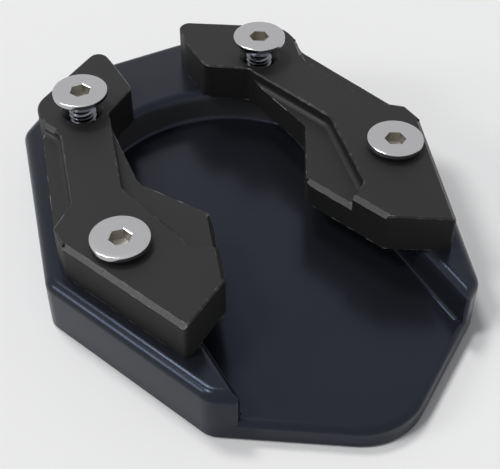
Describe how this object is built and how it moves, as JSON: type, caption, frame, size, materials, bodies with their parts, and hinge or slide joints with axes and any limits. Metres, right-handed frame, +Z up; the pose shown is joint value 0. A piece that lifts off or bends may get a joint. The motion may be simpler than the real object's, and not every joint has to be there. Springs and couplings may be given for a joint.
{
  "type": "kickstand foot enlarger",
  "caption": "Bolt-on enlarger for a motorbike's side stand foot: a flat base plate with a pocket and clamps that screw down over the foot.",
  "frame": {"origin": "centre of the base plate's underside", "axes": "+Z up, +Y towards the pocket's closed end, +X to the right seen from the open end"},
  "size_m": [0.0922, 0.121, 0.0275],
  "materials": {
    "base_black": "satin blue-black anodised",
    "clamp_black": "fine matt black anodised",
    "screw_bright": "bright plated steel"
  },
  "bodies": {
    "root": {"base_plate": "base_black", "left_clamp": "clamp_black", "right_clamp": "clamp_black", "front_left_screw": "screw_bright", "front_right_screw": "screw_bright", "rear_left_screw": "screw_bright", "rear_right_screw": "screw_bright"}
  },
  "joints": []
}
